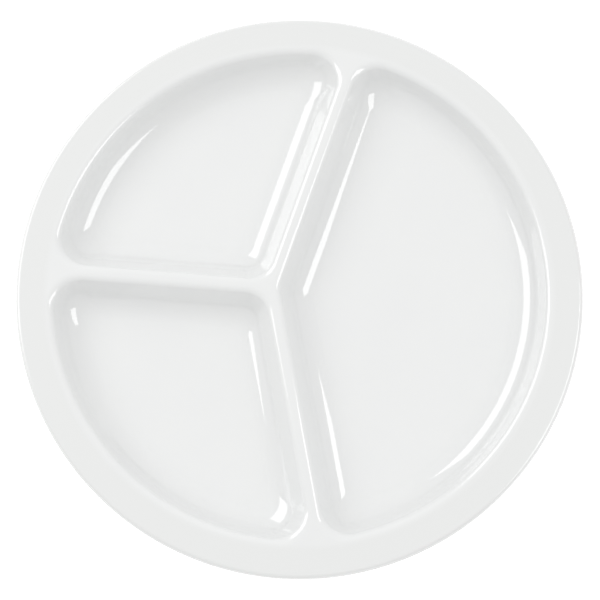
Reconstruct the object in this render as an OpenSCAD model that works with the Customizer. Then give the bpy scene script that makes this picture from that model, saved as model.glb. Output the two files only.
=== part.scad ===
// Divided compartment plate: a round three-well plate, moulded in one piece from filled melamine,
// with a thin clear overglaze of the same resin pressed onto its eating side.
// The origin is on the table under the plate's centre. +Z is up, and the narrow divider between
// the two small wells runs from the hub along -X.

/* [Plate] */
// Diameter over the rim
plate_d = 254; // [220:1:280]
// Width of the flat rim, from the plate's edge to where the lip starts to turn down
rim_w = 13.5; // [10:0.5:20]
// Thickness of the moulded wall, with the glaze
wall_t = 3; // [2.6:0.1:3.2]
// Thickness of the overglaze
glaze_t = 0.3; // [0.2:0.05:0.5]
// Radius on the rim's edge, above and below the parting line
edge_r = 1.4; // [1:0.1:1.5]

/* [Wells] */
// Depth of each well below the rim
well_depth = 14; // [12:0.5:18]
// Slope of the outer wall of the wells from the vertical, in degrees
outer_slope = 24; // [18:1:35]
// Slope of the dividers' sides from the vertical, in degrees
divider_slope = 35.5; // [25:0.5:42]
// Radius of the lip, where a wall turns over into the rim or a divider's top
lip_r = 3.8; // [3.4:0.1:5]
// Radius between a wall and the well's floor
floor_r = 8; // [5:0.5:9]
// Plan radius of the corners between a divider and the rim, at the lip and at the floor
rim_corner_r = [13, 4]; // [2:0.5:20]
// Plan radius of the corner at the hub, at the lip and at the floor
hub_corner_r = [9, 5]; // [2:0.5:16]

/* [Dividers] */
// Distance of the hub, where the three dividers meet, from the plate's centre
hub_offset = 13; // [5:1:20]
// Plan angle of each small well at the hub, in degrees
small_angle = 105; // [95:1:115]
// Width of the flat along the top of a divider
ridge_w = 0.6; // [0.6:0.1:3]

/* [Foot] */
// Distance of the foot ring in from the edge of the wells' flat floors
foot_inset = 8.6; // [3:0.1:20]
// Width of the foot ring
foot_w = 3.2; // [2.5:0.1:5]
// Height of the foot ring under the wells
foot_h = 2; // [1:0.1:3]
// Distance by which each side of the foot tapers in towards the face it stands on
foot_taper = 0.6; // [0.2:0.1:1]
// Distance of each foot arc's ends from the hollow under a divider
foot_gap = 2; // [1:0.5:6]

/* [Smoothness] */
// Steps round a corner at the rim
corner_steps = 7; // [5:1:10]
// Steps round the corner at the hub
hub_steps = 5; // [4:1:8]
// Steps along the outer wall of each well
arc_steps = 30; // [20:1:40]
// Steps down each rounding of a wall's section
round_steps = 5; // [4:1:7]

/* [Hidden] */
$fn = 120;
// Cuts run this far past the faces they meet
over = 1;
// Share of the first rounding step by which a lip's surface runs on past the face it meets
flare_share = 0.6;
plate_r = plate_d / 2;
large_angle = 360 - 2 * small_angle;
floor_z = foot_h + wall_t;
rim_z = floor_z + well_depth;
part_z = rim_z - edge_r;
rim_in_r = plate_r - rim_w;
ridge_half = ridge_w / 2;
hub = [-hub_offset, 0];
divider_angles = [180 - small_angle, 180, 180 + small_angle];
// The lower half of the rim's edge takes what the upper half leaves of the wall
low_edge_r = wall_t - edge_r;
foot_root_z = foot_h + (wall_t - glaze_t) / 2;
LIP = 0;
FLOOR = 1;

function dir(a) = [cos(a), sin(a)];
function dot(p, q) = p[0] * q[0] + p[1] * q[1];
function mix(p, q, t) = p + (q - p) * t;
// The angle turned through, anticlockwise, from a to b
function turn(a, b) = b - a - 360 * floor((b - a) / 360);
// Where a line from p along the unit vector d leaves a circle of radius r round the plate's centre
function leave_circle(p, d, r) = p + d * (sqrt(r * r - dot(p, p) + pow(dot(p, d), 2)) - dot(p, d));
// Points of an arc round c, starting at angle a, with their height passing from z0 to z1. An arc
// between two others is given without its ends, which are theirs.
function arc(c, r, a, sweep, z0, z1, steps, ends = true) = [
    for (i = ends ? [0 : steps] : [1 : steps - 1])
        let (p = c + r * dir(a + sweep * i / steps))
        [p[0], p[1], mix(z0, z1, i / steps)]
];

// Plan distance that a wall of this slope takes from the lip's outer edge to the flat floor
function wall_run(slope) = (lip_r + floor_r) * cos(slope)
    + (well_depth - (lip_r + floor_r) * (1 - sin(slope))) * tan(slope);

// Outer radius of the foot ring, which the hollow dividers break into three arcs
foot_r = rim_in_r - wall_run(outer_slope) - foot_inset;
// Half of the gap in the foot under a divider
gap_half = ridge_half + wall_run(divider_slope) + foot_gap;

// Section of a wall from the lip down to the floor, with the surface moved out of the well by grow.
// Each point is its distance in from the lip's outer edge, its height, and its share of the run.
function wall_section(slope, grow) =
    let (
        run = wall_run(slope),
        most = 90 - slope,
        lip = [for (i = [0 : round_steps])
            let (a = most * i / round_steps, r = lip_r - grow)
            [r * sin(a), rim_z - lip_r + r * cos(a), sin(a)]],
        bowl = [for (i = [round_steps : -1 : 0])
            let (a = most * i / round_steps, r = floor_r + grow)
            [run - r * sin(a), floor_z + floor_r - r * cos(a), sin(a)]],
        flared = concat([lip[0] + (lip[0] - lip[1]) * flare_share], [for (i = [1 : round_steps]) lip[i]])
    )
    [for (p = concat(flared, bowl)) [p[0], p[1], (p[0] + grow * p[2]) / run, grow * p[2]]];

// Outline of a well at one level: near and far rim corners with the outer wall between, then the hub
function outline(a, spread, side, outer, rim_r, hub_r) =
    let (
        inset = ridge_half + side[0],
        out_r = rim_in_r - outer[0],
        near_c = leave_circle(hub + dir(a + 90) * (inset + rim_r), dir(a), out_r - rim_r),
        far_c = leave_circle(hub + dir(a + spread - 90) * (inset + rim_r), dir(a + spread), out_r - rim_r),
        hub_c = hub + dir(a + spread / 2) * (inset + hub_r) / sin(spread / 2),
        near_a = atan2(near_c[1], near_c[0]),
        far_a = atan2(far_c[1], far_c[0])
    )
    concat(
        arc(near_c, rim_r, a - 90, turn(a - 90, near_a), side[1], outer[1], corner_steps),
        arc([0, 0], out_r, near_a, turn(near_a, far_a), outer[1], outer[1], arc_steps, false),
        arc(far_c, rim_r, far_a, turn(far_a, a + spread + 90), outer[1], side[1], corner_steps),
        arc(hub_c, hub_r, a + spread + 90, 180 - spread, side[1], side[1], hub_steps)
    );

// All the outlines of a well, from the top down
function well_rings(a, spread, grow, top) =
    let (
        sides = wall_section(divider_slope, grow),
        outers = wall_section(outer_slope, grow),
        rings = [for (i = [0 : len(sides) - 1])
            let (share = sides[i][2], out = sides[i][3])
            outline(a, spread, sides[i], outers[i],
                mix(rim_corner_r[LIP], rim_corner_r[FLOOR], share) + out,
                mix(hub_corner_r[LIP], hub_corner_r[FLOOR], share) + out)]
    )
    concat([[for (p = rings[0]) [p[0], p[1], top]]], rings);

// Closed solid through a stack of outlines that have the same number of points
module loft(rings) {
    n = len(rings[0]);
    levels = len(rings);
    polyhedron(
        points = [for (ring = rings) for (p = ring) p],
        faces = concat(
            [[for (i = [n - 1 : -1 : 0]) i]],
            [for (k = [0 : levels - 2]) for (i = [0 : n - 1]) for (f = [
                [k * n + i, k * n + (i + 1) % n, (k + 1) * n + i],
                [k * n + (i + 1) % n, (k + 1) * n + (i + 1) % n, (k + 1) * n + i]
            ]) f],
            [[for (i = [0 : n - 1]) (levels - 1) * n + i]]
        )
    );
}

// Space of the three wells, with its surface moved out by grow and closed at the height top
module wells(grow, top) {
    loft(well_rings(180 - small_angle, small_angle, grow, top));
    loft(well_rings(180, small_angle, grow, top));
    loft(well_rings(180 + small_angle, large_angle, grow, top));
}

// Half of a section's rounded edge: a quarter circle of radius r that ends at the plate's edge, with
// the material behind it, above the parting line or under it
module edge_half(r, above) {
    intersection() {
        translate([plate_r - r, part_z]) circle(r);
        translate([plate_r - r - over, above ? part_z : part_z - r]) square([r + over, r]);
    }
    translate([0, above ? part_z : part_z - r]) square([plate_r - r, r]);
}

// Section of the glaze over the rim: it wraps the edge and ends on a ledge at the parting line
module glaze_section() {
    difference() {
        edge_half(edge_r, true);
        translate([plate_r - edge_r, part_z]) circle(edge_r - glaze_t);
        translate([0, part_z - over]) square([plate_r - edge_r, edge_r - glaze_t + over]);
    }
}

// Section of the rim's filled melamine, under the glaze
module rim_section() {
    difference() {
        union() {
            edge_half(edge_r, true);
            edge_half(low_edge_r, false);
        }
        glaze_section();
    }
}

// Foot ring, broken where the hollow dividers cross it
module foot() {
    difference() {
        rotate_extrude() translate([foot_r - foot_w, 0]) foot_section();
        for (a = divider_angles)
            translate(hub) rotate(a) translate([0, -gap_half, -over])
                cube([plate_d, 2 * gap_half, foot_h + wall_t + 2 * over]);
    }
}

// The foot's section, tapered so that it leaves the mould, and sunk into the floor above it
module foot_section() {
    polygon([[foot_taper, 0], [foot_w - foot_taper, 0], [foot_w, foot_h], [foot_w, foot_root_z],
        [0, foot_root_z], [0, foot_h]]);
}

module plate_body() {
    color("white") difference() {
        union() {
            rotate_extrude() rim_section();
            wells(wall_t, rim_z - wall_t / 2);
            foot();
        }
        wells(glaze_t, rim_z + over);
    }
}

module glaze_skin() {
    color("ghostwhite") difference() {
        union() {
            rotate_extrude() glaze_section();
            wells(glaze_t, rim_z - glaze_t / 2);
        }
        wells(0, rim_z + over);
    }
}

plate_body();
glaze_skin();
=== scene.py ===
# %% [markdown]
# A divided plate of white melamine, dressed for the camera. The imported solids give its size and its
# place. They could be given a finish as they are, but a glossy white surface shows every facet. So
# the shell is drawn again here with finer steps, and it then gets its two finishes: the glazed face
# and the moulded back.

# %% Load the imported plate
import math

import bmesh
import bpy
from mathutils import Matrix, Quaternion, Vector


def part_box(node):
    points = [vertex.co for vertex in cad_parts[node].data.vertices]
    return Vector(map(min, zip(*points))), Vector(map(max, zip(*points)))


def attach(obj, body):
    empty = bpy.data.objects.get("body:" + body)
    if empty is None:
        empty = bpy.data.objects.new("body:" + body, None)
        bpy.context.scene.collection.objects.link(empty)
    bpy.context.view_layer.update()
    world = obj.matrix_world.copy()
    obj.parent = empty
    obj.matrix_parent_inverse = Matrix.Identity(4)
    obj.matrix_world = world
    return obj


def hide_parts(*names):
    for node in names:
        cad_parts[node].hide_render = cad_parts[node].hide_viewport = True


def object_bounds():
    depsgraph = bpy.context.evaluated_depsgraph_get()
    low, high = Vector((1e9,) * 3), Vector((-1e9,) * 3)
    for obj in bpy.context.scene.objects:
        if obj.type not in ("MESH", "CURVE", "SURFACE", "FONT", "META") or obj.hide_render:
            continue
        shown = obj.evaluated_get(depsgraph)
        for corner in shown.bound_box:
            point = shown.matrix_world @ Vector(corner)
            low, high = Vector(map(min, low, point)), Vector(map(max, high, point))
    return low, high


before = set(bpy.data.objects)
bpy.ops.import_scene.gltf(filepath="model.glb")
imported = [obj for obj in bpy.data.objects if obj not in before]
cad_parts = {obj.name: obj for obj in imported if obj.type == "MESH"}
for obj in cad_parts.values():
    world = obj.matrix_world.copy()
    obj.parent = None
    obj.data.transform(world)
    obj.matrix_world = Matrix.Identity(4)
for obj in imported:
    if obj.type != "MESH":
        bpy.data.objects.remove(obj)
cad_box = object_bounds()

MM = 0.001
glaze_low, glaze_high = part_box("glaze_skin")
body_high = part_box("plate_body")[1]
print("plate", [round(v / MM, 2) for v in cad_box[1] - cad_box[0]], "mm")

# %% [markdown]
# The driving sizes. Those that the solids' boxes tell come from there, so the drawn shell can't
# outgrow them. The others are the plate's own: the flat rim, the slopes of the walls, and the radii
# that a mould's maker puts on every edge so that food and water don't catch. They were matched to
# the bright lines that the walls show in the photograph. Angles turn from +X, seen from above.

# %% Sizes, in millimetres
PLATE_R = cad_box[1].x / MM
RIM_Z = cad_box[1].z / MM
GLAZE_T = (glaze_high.z - body_high.z) / MM
FLOOR_Z = glaze_low.z / MM + GLAZE_T
WALL_T = 3
EDGE_R = 2.2
LOW_EDGE_R = WALL_T - EDGE_R
RIM_W = 13.5
PART_Z = RIM_Z - EDGE_R
WELL_DEPTH = RIM_Z - FLOOR_Z
WELL_R = PLATE_R - RIM_W
HUB = Vector((-12.5, 0, 0))
SMALL_ANGLE = math.radians(105)
RIDGE_HALF = 0.6
LIP_R = 3.6
FLOOR_R = 12.5
OUTER_SLOPE = math.radians(21)
DIVIDER_SLOPE = math.radians(32)
RIM_CORNER_LIP = 13.5
RIM_CORNER_FLOOR = 7
HUB_CORNER_LIP = 12
HUB_CORNER_FLOOR = 8
FOOT_R = 91
FOOT_W = 3.2
FOOT_EDGE_R = 0.8
FOOT_GAP = 2
UP = Vector((0, 0, 1))
print("glaze %.2f mm thick, wells %.1f mm deep" % (GLAZE_T, WELL_DEPTH))

# %% [markdown]
# A wall of a well, seen in section, is three stretches: the lip that turns down from the rim, a
# straight sloping side, and the hollow that turns into the floor. The same section serves the glazed
# face, the joint under the glaze and the plate's underside, moved outward by a growth. Moving a
# rounding outward keeps its centre and changes its radius, which keeps the wall even.

# %% Section of a wall
LIP_STEPS = 8
BOWL_STEPS = 10


def wall_run(slope):
    """Plan distance from the lip's outer edge to the flat floor."""
    turned = (LIP_R + FLOOR_R) * (1 - math.sin(slope))
    return (LIP_R + FLOOR_R) * math.cos(slope) + (WELL_DEPTH - turned) * math.tan(slope)


def wall_section(slope, growth):
    """From the rim down: distance in from the lip's edge, height, share of the run, plan growth."""
    run, most = wall_run(slope), math.pi / 2 - slope
    course = []
    for i in range(LIP_STEPS + 1):
        a, r = most * i / LIP_STEPS, LIP_R - growth
        course.append((r * math.sin(a), RIM_Z - LIP_R + r * math.cos(a), math.sin(a)))
    for i in range(BOWL_STEPS, -1, -1):
        a, r = most * i / BOWL_STEPS, FLOOR_R + growth
        course.append((run - r * math.sin(a), FLOOR_Z + FLOOR_R - r * math.cos(a), math.sin(a)))
    return [(x, z, (x + growth * s) / run, growth * s) for x, z, s in course]


print("outer wall spreads %.1f mm, divider %.1f mm" % (wall_run(OUTER_SLOPE), wall_run(DIVIDER_SLOPE)))

# %% [markdown]
# Seen from above, each well is a slice of a circle with its three corners rounded. It could be cut
# out of a disc, but a cut leaves uneven faces that show in a gloss. So one loop of its wall is drawn
# by spinning a single vertex: round the corner's centre, on round the plate's centre along the rim,
# and round the other two corners. The straight dividers need no points of their own.

# %% One loop of a well
CORNER_STEPS = 14
HUB_STEPS = 12
RIM_STEP = math.radians(2)
QUARTER = math.pi / 2


def direction(angle):
    """Unit vector on the level, at an angle from +X."""
    return Vector((math.cos(angle), math.sin(angle), 0))


def angle_of(point):
    """The angle from +X at which a point lies."""
    return math.atan2(point.y, point.x)


def turn(start, end):
    """The angle turned through, anticlockwise, from start to end."""
    return (end - start) % (2 * math.pi)


def leave_circle(point, along, radius):
    """Where a line from point leaves a circle round the plate's centre."""
    reach = point.dot(along)
    return point + along * (math.sqrt(radius ** 2 - point.length_squared + reach ** 2) - reach)


def spin_on(bm, vertex, centre, angle, steps, rise=0.0):
    """Spins a vertex round an upright axis, rising evenly, and returns the last vertex."""
    made = bmesh.ops.spin(bm, geom=[vertex], cent=centre, axis=UP, dvec=UP * rise / steps,
                          angle=angle, steps=steps)
    return made["geom_last"][0]


def well_loop(bm, start, spread, side, outer):
    """Draws one level of a well."""
    share, out = side[2], side[3]
    rim_r = RIM_CORNER_LIP + (RIM_CORNER_FLOOR - RIM_CORNER_LIP) * share + out
    hub_r = HUB_CORNER_LIP + (HUB_CORNER_FLOOR - HUB_CORNER_LIP) * share + out
    inset, out_r, end = RIDGE_HALF + side[0], WELL_R - outer[0], start + spread
    near = leave_circle(HUB + direction(start + QUARTER) * (inset + rim_r), direction(start), out_r - rim_r)
    far = leave_circle(HUB + direction(end - QUARTER) * (inset + rim_r), direction(end), out_r - rim_r)
    hub = HUB + direction(start + spread / 2) * (inset + hub_r) / math.sin(spread / 2)
    near_a, far_a, climb = angle_of(near), angle_of(far), outer[1] - side[1]
    first = bm.verts.new(near + direction(start - QUARTER) * rim_r + UP * side[1])
    last = spin_on(bm, first, near, turn(start - QUARTER, near_a), CORNER_STEPS, climb)
    last = spin_on(bm, last, Vector(), turn(near_a, far_a), round(spread / RIM_STEP))
    last = spin_on(bm, last, far, turn(far_a, end + QUARTER), CORNER_STEPS, -climb)
    hub_first = bm.verts.new(hub + direction(end + QUARTER) * hub_r + UP * side[1])
    bm.edges.new((last, hub_first))
    last = spin_on(bm, hub_first, hub, math.pi - spread, HUB_STEPS)
    bm.edges.new((last, first))


print("corners at the rim %g to %g mm, at the hub %g to %g mm, from lip to floor"
      % (RIM_CORNER_LIP, RIM_CORNER_FLOOR, HUB_CORNER_LIP, HUB_CORNER_FLOOR))

# %% [markdown]
# A well is its loops, stacked from the rim down and bridged to each other. The three wells start at
# the three dividers, which run out from the hub. Each loop is drawn by itself and then copied into
# the shell, because a spin takes longer the more the mesh already holds.

# %% A stack of loops for each well
WELLS = (
    (math.pi - SMALL_ANGLE, SMALL_ANGLE),
    (math.pi, SMALL_ANGLE),
    (math.pi + SMALL_ANGLE, 2 * math.pi - 2 * SMALL_ANGLE),
)


def drawn_apart(bm, draw, *arguments):
    """Draws in a mesh of its own, copies the result into bm, and returns its edges."""
    small, mesh, old = bmesh.new(), bpy.data.meshes.new("drawn_apart"), set(bm.edges)
    draw(small, *arguments)
    small.to_mesh(mesh)
    small.free()
    bm.from_mesh(mesh)
    bpy.data.meshes.remove(mesh)
    return [e for e in bm.edges if e not in old]


def add_wells(bm, growth):
    """Adds the walls of the three wells, and returns their lip loops and their floor loops."""
    courses = list(zip(wall_section(DIVIDER_SLOPE, growth), wall_section(OUTER_SLOPE, growth)))
    stacks = [[drawn_apart(bm, well_loop, start, spread, side, outer) for side, outer in courses]
              for start, spread in WELLS]
    for loops in stacks:
        for upper, lower in zip(loops, loops[1:]):
            bmesh.ops.bridge_loops(bm, edges=upper + lower)
    return [loops[0] for loops in stacks], [loops[-1] for loops in stacks]


print("wells spread over", [round(math.degrees(spread)) for start, spread in WELLS], "degrees")

# %% [markdown]
# The rim's edge is turned: a quarter round, drawn by spinning one vertex, is spun about the plate's
# axis. The flat of the rim and the dividers' tops lie in one plane, so they are one fill between
# the rim's loop and the wells' lips.

# %% The rim's edge and the flats
EDGE_STEPS = 8
ROUND_STEPS = 256


def edge_band(bm, centre_r, radius, start):
    """Turns a quarter of the rim's edge about the plate's axis."""
    centre = Vector((centre_r, 0, PART_Z))
    first = bm.verts.new(centre + Vector((math.sin(start), 0, math.cos(start))) * radius)
    bmesh.ops.spin(bm, geom=[first], cent=centre, axis=(0, 1, 0), angle=QUARTER, steps=EDGE_STEPS)
    bmesh.ops.spin(bm, geom=bm.verts[:] + bm.edges[:], cent=Vector(), axis=UP, angle=2 * math.pi,
                   steps=ROUND_STEPS, use_merge=True)


def add_edge(bm, centre_r, radius, start):
    """Adds an edge band, and returns its upper and its lower loop."""
    open_edges = [e for e in drawn_apart(bm, edge_band, centre_r, radius, start) if e.is_boundary]
    middle = sum(e.verts[0].co.z for e in open_edges) / len(open_edges)
    upper = [e for e in open_edges if e.verts[0].co.z > middle]
    return upper, [e for e in open_edges if e.verts[0].co.z < middle]


def fill_flat(bm, loops):
    """Fills the flat between an outer loop and the loops inside it."""
    made = bmesh.ops.triangle_fill(bm, use_beauty=True, edges=sum(loops, []), normal=UP)["geom"]
    faces = [f for f in made if isinstance(f, bmesh.types.BMFace)]
    print("flat filled, %.0f mm2" % sum(f.calc_area() for f in faces))


print("rim %g mm wide, edge rounded to %g mm above and %g mm below" % (RIM_W, EDGE_R, LOW_EDGE_R))

# %% [markdown]
# Under each well's floor stands an arc of the foot. A separate ring would only touch the floor, and
# on the real plate the two are one. So the foot's footprint, a band between two spun arcs, is laid
# into the floor's underside and pushed down, and its edges are then rounded.

# %% The foot under a well
FOOT_STEPS = 40
FOOT_ROUND_STEPS = 4


def add_foot(bm, well, floor):
    """Closes the underside of one well's floor, with its arc of the foot standing down from it."""
    start, spread = well
    height = floor[0].verts[0].co.z
    gap_half = RIDGE_HALF + wall_run(DIVIDER_SLOPE) + FOOT_GAP
    old = set(bm.edges)
    arcs = []
    for radius in (FOOT_R, FOOT_R - FOOT_W):
        near = leave_circle(HUB + direction(start + QUARTER) * gap_half, direction(start), radius)
        far = leave_circle(HUB + direction(start + spread - QUARTER) * gap_half,
                           direction(start + spread), radius)
        before = set(bm.edges)
        first = bm.verts.new(near + UP * height)
        spin_on(bm, first, Vector(), turn(angle_of(near), angle_of(far)), FOOT_STEPS)
        arcs.append([e for e in bm.edges if e not in before])
    band = bmesh.ops.bridge_loops(bm, edges=arcs[0] + arcs[1])["faces"]
    footprint = [e for e in bm.edges if e not in old]
    fill_flat(bm, [floor, [e for e in footprint if e.is_boundary]])
    grown = bmesh.ops.extrude_face_region(bm, geom=band)["geom"]
    bmesh.ops.delete(bm, geom=[f for f in band if f.is_valid], context="FACES")
    lower = [v for v in grown if isinstance(v, bmesh.types.BMVert)]
    bmesh.ops.translate(bm, verts=lower, vec=-UP * height)
    sole = {f for f in grown if isinstance(f, bmesh.types.BMFace)}
    rims = [e for e in bm.edges if sum(f in sole for f in e.link_faces) == 1]
    bmesh.ops.bevel(bm, geom=rims, offset=FOOT_EDGE_R, offset_type="OFFSET", segments=FOOT_ROUND_STEPS,
                    profile=0.5, affect="EDGES", material=-1)


print("foot ring %g mm across and %g mm wide" % (2 * FOOT_R, FOOT_W))

# %% [markdown]
# The glaze is a closed skin: its shining face, its back face 0.3 mm under it, and a narrow ledge at
# the parting line where the two meet. The body under it is closed in the same way, by the joint
# above and by its own underside. So two functions draw all the faces that are needed.

# %% Faces of the shell
def glazed_side(bm, growth):
    """Adds a face on the eating side, and returns its loop at the parting line."""
    lips, floors = add_wells(bm, growth)
    for loop in floors:
        bmesh.ops.edgeloop_fill(bm, edges=loop)
    top, parting = add_edge(bm, PLATE_R - EDGE_R, EDGE_R - growth, 0)
    fill_flat(bm, [top] + lips)
    return parting


def under_side(bm):
    """Adds the plate's underside with its foot, and returns its loop at the parting line."""
    lips, floors = add_wells(bm, WALL_T)
    for well, loop in zip(WELLS, floors):
        add_foot(bm, well, loop)
    parting, under = add_edge(bm, PLATE_R - LOW_EDGE_R, LOW_EDGE_R, QUARTER)
    fill_flat(bm, [under] + lips)
    return parting


print("parting line %.1f mm above the table" % PART_Z)

# %% [markdown]
# A shell is two faces joined at the parting line. Its faces are shaded smooth, except across the
# few edges that turn sharply, such as the ledge. The Weighted Normal modifier then lets the large
# flat faces rule the shading of the roundings that meet them, so the flats stay free of streaks.

# %% From faces to a closed piece
SHARP = math.radians(40)
CUBIC_CM = 1e6


def make_shell(name, faces, material):
    """Joins two faces at the parting line, turns them outward and makes the shell a piece, in metres."""
    bm = bmesh.new()
    loops = [face(bm) for face in faces]
    bmesh.ops.bridge_loops(bm, edges=loops[0] + loops[1])
    bmesh.ops.recalc_face_normals(bm, faces=bm.faces)
    for face in bm.faces:
        face.smooth = True
    for edge in bm.edges:
        edge.smooth = edge.is_manifold and edge.calc_face_angle() < SHARP
    open_edges = sum(not e.is_manifold for e in bm.edges)
    bmesh.ops.scale(bm, vec=(MM, MM, MM), verts=bm.verts)
    print(name, len(bm.faces), "faces,", open_edges, "open edges, %.1f cm3" % (bm.calc_volume() * CUBIC_CM))
    mesh = bpy.data.meshes.new(name)
    bm.to_mesh(mesh)
    bm.free()
    mesh.materials.append(material)
    piece = bpy.data.objects.new(name, mesh)
    bpy.context.scene.collection.objects.link(piece)
    weighted = piece.modifiers.new("even_shine", "WEIGHTED_NORMAL")
    weighted.mode = "FACE_AREA"
    weighted.keep_sharp = True
    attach(piece, "root")
    return piece


print("edges that turn more than %.0f degrees stay crisp" % math.degrees(SHARP))

# %% [markdown]
# The materials come next. Each colour is written as the sRGB hex value that a paint program shows,
# and one function turns it to the linear light that a shader works in. Another adds a node with its
# settings and links, so that a tree of nodes reads from top to bottom like a recipe.

# %% Helpers for materials
CLOUD_MM = 30


def linear(hex_colour):
    """An sRGB hex colour as linear red, green, blue and alpha."""
    parts = [int(hex_colour[i:i + 2], 16) / 255 for i in (1, 3, 5)]
    return [p / 12.92 if p <= 0.04045 else ((p + 0.055) / 1.055) ** 2.4 for p in parts] + [1]


def add_node(tree, kind, settings=(), links=()):
    """Adds a node, sets its properties and input values, and links its inputs from other sockets."""
    node = tree.nodes.new(kind)
    for name, value in dict(settings).items():
        if name in node.inputs:
            node.inputs[name].default_value = value
        else:
            setattr(node, name, value)
    for name, source in dict(links).items():
        tree.links.new(source, node.inputs[name])
    return node


def new_material(name, settings):
    """A material with one shader, and its tree and place coordinates."""
    material = bpy.data.materials.new(name)
    material.use_nodes = True
    tree = material.node_tree
    shader = tree.nodes["Principled BSDF"]
    for key, value in settings.items():
        shader.inputs[key].default_value = value
    place = add_node(tree, "ShaderNodeTexCoord").outputs["Object"]
    return material, tree, shader, place


def drifting_colour(tree, place, colour, shade):
    """A colour that drifts to a shade of it and back, as the powder spreads in the mould."""
    cloud = add_node(tree, "ShaderNodeTexNoise", {"Scale": 1 / (CLOUD_MM * MM), "Detail": 3.0},
                     {"Vector": place})
    return add_node(tree, "ShaderNodeMixRGB", {"Color1": colour, "Color2": shade},
                    {"Fac": cloud.outputs["Fac"]}).outputs["Color"]


print("mid grey #808080 is %.3f in linear light, a colour drifts over %g mm"
      % (linear("#808080")[0], CLOUD_MM))

# %% [markdown]
# The eating side is white melamine under a clear overglaze of melamine resin, pressed against a
# polished steel mould. The resin bends light more than most plastics, with an index of 1.67, so its
# shine is strong: a coat with that index, nearly mirror-smooth, lies over a slightly duller base.
# The white is nearly neutral and drifts by one shade over 30 mm, as the powder spreads in the mould.
# The rim is painted a shade greyer than the wells: a painted shade that darkens the flat rim against the
# floors.

# %% The glazed face
GLAZE_WHITE = linear("#F2F3F2")
GLAZE_SHADE = linear("#EFF0F0")
# Painted shade: the greyer white that the flat rim is painted with.
RIM_PAINTED_SHADE = linear("#EDEEED")
RIM_BLEND_MM = 1.5
RESIN_INDEX = 1.67
COAT_ROUGHNESS = 0.02

glazed, tree, shader, place = new_material("glazed_melamine", {
    "IOR": RESIN_INDEX, "Coat Weight": 1.0, "Coat Roughness": COAT_ROUGHNESS, "Coat IOR": RESIN_INDEX,
})
tint = drifting_colour(tree, place, GLAZE_WHITE, GLAZE_SHADE)
plan = add_node(tree, "ShaderNodeVectorMath", {"operation": "MULTIPLY"}, {0: place})
plan.inputs[1].default_value = (1, 1, 0)
reach = add_node(tree, "ShaderNodeVectorMath", {"operation": "LENGTH"}, {0: plan.outputs["Vector"]})
# Painted shade: a mask by distance from the plate's axis that paints the rim greyer than the wells.
rim_shade_mask = add_node(tree, "ShaderNodeMapRange",
                   {"From Min": (WELL_R - RIM_BLEND_MM) * MM, "From Max": (WELL_R + RIM_BLEND_MM) * MM},
                   {"Value": reach.outputs["Value"]})
face_colour = add_node(tree, "ShaderNodeMixRGB", {"Color2": RIM_PAINTED_SHADE},
                       {"Fac": rim_shade_mask.outputs["Result"], "Color1": tint})
tree.links.new(face_colour.outputs["Color"], shader.inputs["Base Color"])
print("material", glazed.name, "with an index of", RESIN_INDEX)

# %% [markdown]
# The glaze is never quite flat. As the resin shrinks it draws into shallow ripples, 14 mm apart and
# a few thousandths of a millimetre high, which make the lamps' reflections waver along the walls.
# Wiping leaves its polish uneven in patches of about 3 mm.

# %% Ripple and polish of the glaze
RIPPLE_MM = 14
RIPPLE_HEIGHT_MM = 0.004
POLISH_MM = 3
POLISH_FROM = 0.05
POLISH_TO = 0.09

polish = add_node(tree, "ShaderNodeTexNoise", {"Scale": 1 / (POLISH_MM * MM), "Detail": 4.0},
                  {"Vector": place})
rough = add_node(tree, "ShaderNodeMapRange", {"To Min": POLISH_FROM, "To Max": POLISH_TO},
                 {"Value": polish.outputs["Fac"]})
ripple = add_node(tree, "ShaderNodeTexNoise", {"Scale": 1 / (RIPPLE_MM * MM), "Detail": 1.0},
                  {"Vector": place})
bump = add_node(tree, "ShaderNodeBump", {"Distance": RIPPLE_HEIGHT_MM * MM},
                {"Height": ripple.outputs["Fac"]})
tree.links.new(rough.outputs["Result"], shader.inputs["Roughness"])
tree.links.new(bump.outputs["Normal"], shader.inputs["Normal"])
tree.links.new(bump.outputs["Normal"], shader.inputs["Coat Normal"])
print("ripple of %g mm every %g mm" % (RIPPLE_HEIGHT_MM, RIPPLE_MM))

# %% [markdown]
# The back is the bare moulding. It is the same resin, but filled with cellulose and without a
# glaze, so it is warmer, duller and has a fine grain from the mould. The filler's grain is drawn at
# 0.6 mm, coarser than it is, because a finer one wouldn't show.

# %% The moulded back
BACK_WHITE = linear("#EFEFEC")
BACK_SHADE = linear("#E9E9E6")
GRAIN_MM = 0.6
GRAIN_HEIGHT_MM = 0.003
SATIN_FROM = 0.28
SATIN_TO = 0.4
FILLED_INDEX = 1.6

moulded, tree, shader, place = new_material("moulded_melamine", {"IOR": FILLED_INDEX})
tint = drifting_colour(tree, place, BACK_WHITE, BACK_SHADE)
grain = add_node(tree, "ShaderNodeTexNoise", {"Scale": 1 / (GRAIN_MM * MM), "Detail": 2.0},
                 {"Vector": place})
rough = add_node(tree, "ShaderNodeMapRange", {"To Min": SATIN_FROM, "To Max": SATIN_TO},
                 {"Value": grain.outputs["Fac"]})
bump = add_node(tree, "ShaderNodeBump", {"Distance": GRAIN_HEIGHT_MM * MM},
                {"Height": grain.outputs["Fac"]})
tree.links.new(tint, shader.inputs["Base Color"])
tree.links.new(rough.outputs["Result"], shader.inputs["Roughness"])
tree.links.new(bump.outputs["Normal"], shader.inputs["Normal"])
print("material", moulded.name, "grain %g mm" % GRAIN_MM)

# %% [markdown]
# Now the two shells are made. Each stands for one imported solid, which is then hidden, both ride on the
# plate's only body, and each is closed, so its volume can be measured.

# %% Make the two shells
skin = make_shell("glaze_face", [lambda bm: glazed_side(bm, 0), lambda bm: glazed_side(bm, GLAZE_T)], glazed)
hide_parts("glaze_skin")

moulding = make_shell("plate_moulding", [lambda bm: glazed_side(bm, GLAZE_T), under_side], moulded)
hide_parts("plate_body")

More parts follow.
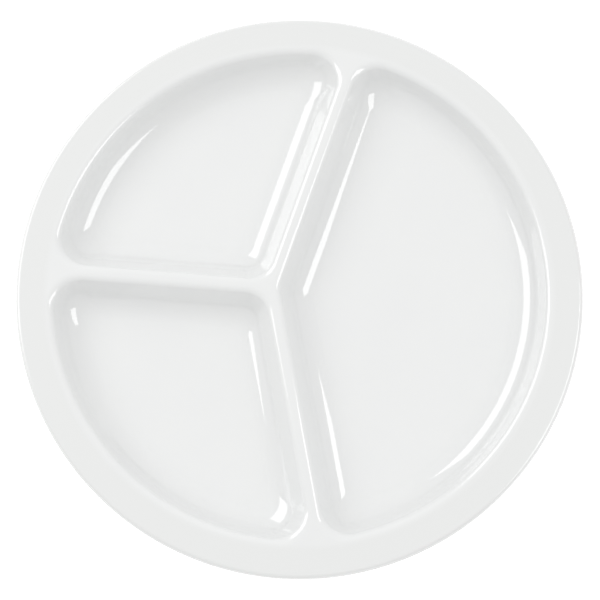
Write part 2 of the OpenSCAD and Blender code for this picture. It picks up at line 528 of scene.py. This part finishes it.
# %% [markdown]
# The camera looks down on the plate from a little in front, from about half a metre. It could be
# placed by eye, but the rim is a true circle, so its outline in the photograph gives the place, the
# distance and the lens by a fit.

# %% Camera
CAMERA_AZIMUTH = -85.522
CAMERA_ELEVATION = 80.64
CAMERA_FAR = 0.5499
FOCAL_PX = 1235
IMAGE_PX = 600
SENSOR_MM = 36
AIM = Vector((0.63, -5.30, 20.0)) * MM


def toward(azimuth, elevation):
    """Unit vector at an azimuth from +X and an elevation from the level, in degrees."""
    a, e = math.radians(azimuth), math.radians(elevation)
    return Vector((math.cos(a) * math.cos(e), math.sin(a) * math.cos(e), math.sin(e)))


back = toward(CAMERA_AZIMUTH, CAMERA_ELEVATION)
right = UP.cross(back).normalized()
above = back.cross(right)
camera_data = bpy.data.cameras.new("camera")
camera_data.sensor_width = SENSOR_MM
camera_data.lens = FOCAL_PX / IMAGE_PX * SENSOR_MM
camera = bpy.data.objects.new("camera", camera_data)
camera.matrix_world = Matrix((right, above, back)).transposed().to_4x4()
camera.location = AIM + back * CAMERA_FAR
bpy.context.scene.collection.objects.link(camera)
bpy.context.scene.camera = camera
print("lens %.1f mm at %.3f m" % (camera_data.lens, CAMERA_FAR))

# %% [markdown]
# The light is a plain studio's, with a softbox 1.2 m away on either side. A lip or a hollow shows a
# lamp as a thin bright line, and the line is as wide as the lamp looks from the plate, so the lamps'
# sizes and places were found from the lines in the photograph. The flat floors mirror neither lamp
# and stay plain.

# %% Softboxes
LAMP_FAR = 1.2
LAMPS = {
    "left_softbox": dict(azimuth=157, elevation=38, roll=2, wide=1.1, high=0.64, radiance=1.6),
    "right_softbox": dict(azimuth=-8, elevation=50, roll=30, wide=0.75, high=0.42, radiance=1.85),
}


def add_softbox(name, azimuth, elevation, roll, wide, high, radiance):
    """A rectangular lamp aimed at the plate. A radiance of 1 looks plain white in a mirror."""
    place = toward(azimuth, elevation) * LAMP_FAR
    data = bpy.data.lights.new(name, "AREA")
    data.shape = "RECTANGLE"
    data.size = wide
    data.size_y = high
    data.energy = math.pi * wide * high * radiance
    lamp = bpy.data.objects.new(name, data)
    lamp.location = place
    lamp.rotation_euler = (place.to_track_quat("Z", "Y") @ Quaternion(UP, math.radians(roll))).to_euler()
    bpy.context.scene.collection.objects.link(lamp)
    print("%s %.0f W" % (name, data.energy))


for name, settings in LAMPS.items():
    add_softbox(name, **settings)

# %% [markdown]
# What the camera sees directly, in a gloss or through glass, is plain white, as the photograph's
# background is. The light that falls on the plate is another matter, and it is kept lower, so that
# the white plate stands out. The Light Path node tells the two apart.

# %% Telling sight from light
def plain_sight(tree):
    """1 for what is seen directly, in a gloss or through glass, and 0 for light on the plate."""
    rays = add_node(tree, "ShaderNodeLightPath").outputs
    value = rays["Is Camera Ray"]
    for name in ("Is Glossy Ray", "Is Transmission Ray"):
        either = add_node(tree, "ShaderNodeMath", {"operation": "MAXIMUM"})
        tree.links.new(value, either.inputs[0])
        tree.links.new(rays[name], either.inputs[1])
        value = either.outputs["Value"]
    return value


def show_by_sight(tree, light, sight, output):
    """Gives the output one shader as light on the plate and another in plain sight."""
    shown = add_node(tree, "ShaderNodeMixShader", (), {"Fac": plain_sight(tree)})
    tree.links.new(light, shown.inputs[1])
    tree.links.new(sight, shown.inputs[2])
    tree.links.new(shown.outputs["Shader"], tree.nodes[output].inputs["Surface"])


WHITE = linear("#FFFFFF")
print("white is", WHITE[:3])

# %% [markdown]
# The room is white, and a little brighter behind the plate than in front of it, which makes the
# walls that face the camera a shade darker than those that face away. Two more lamps could do the
# same, but they would draw two more bright lines in the glaze, and the photograph has none.

# %% The room
ROOM_FRONT = 0.64
ROOM_BACK = 0.835

world = bpy.data.worlds.new("white_room")
world.use_nodes = True
bpy.context.scene.world = world
tree = world.node_tree
room = tree.nodes["Background"]
room.inputs["Color"].default_value = WHITE
way = add_node(tree, "ShaderNodeTexCoord").outputs["Generated"]
depth = add_node(tree, "ShaderNodeSeparateXYZ", (), {"Vector": way})
level = add_node(tree, "ShaderNodeMapRange",
                 {"From Min": -1.0, "From Max": 1.0, "To Min": ROOM_FRONT, "To Max": ROOM_BACK},
                 {"Value": depth.outputs["Y"]})
tree.links.new(level.outputs["Result"], room.inputs["Strength"])
seen = add_node(tree, "ShaderNodeBackground", {"Color": WHITE, "Strength": 1.0})
show_by_sight(tree, room.outputs["Background"], seen.outputs["Background"], "World Output")
print("room %.2f in front, %.2f behind" % (ROOM_FRONT, ROOM_BACK))

# %% [markdown]
# The table is a white sheet that reaches past the picture. In plain sight it also glows a little,
# which lifts it to the photograph's white and leaves the plate's soft shadow on it.

# %% The table
TABLE_SIZE = 3.0
TABLE_GLOW = 0.45
TABLE_ROUGHNESS = 0.9
TABLE_WHITE = linear("#F2F2F2")

bm = bmesh.new()
bmesh.ops.create_grid(bm, x_segments=1, y_segments=1, size=TABLE_SIZE / 2)
table_mesh = bpy.data.meshes.new("table")
bm.to_mesh(table_mesh)
bm.free()
table = bpy.data.objects.new("table", table_mesh)
bpy.context.scene.collection.objects.link(table)

table_material = bpy.data.materials.new("white_table")
table_material.use_nodes = True
tree = table_material.node_tree
paper = tree.nodes["Principled BSDF"]
paper.inputs["Base Color"].default_value = TABLE_WHITE
paper.inputs["Roughness"].default_value = TABLE_ROUGHNESS
glow = add_node(tree, "ShaderNodeEmission", {"Color": WHITE, "Strength": TABLE_GLOW})
lifted = add_node(tree, "ShaderNodeAddShader")
tree.links.new(paper.outputs["BSDF"], lifted.inputs[0])
tree.links.new(glow.outputs["Emission"], lifted.inputs[1])
show_by_sight(tree, paper.outputs["BSDF"], lifted.outputs["Shader"], "Material Output")
table_mesh.materials.append(table_material)
print("table %g m square" % TABLE_SIZE)

# %% [markdown]
# The Standard view shows colours as they are written.

bpy.context.scene.view_settings.view_transform = "Standard"
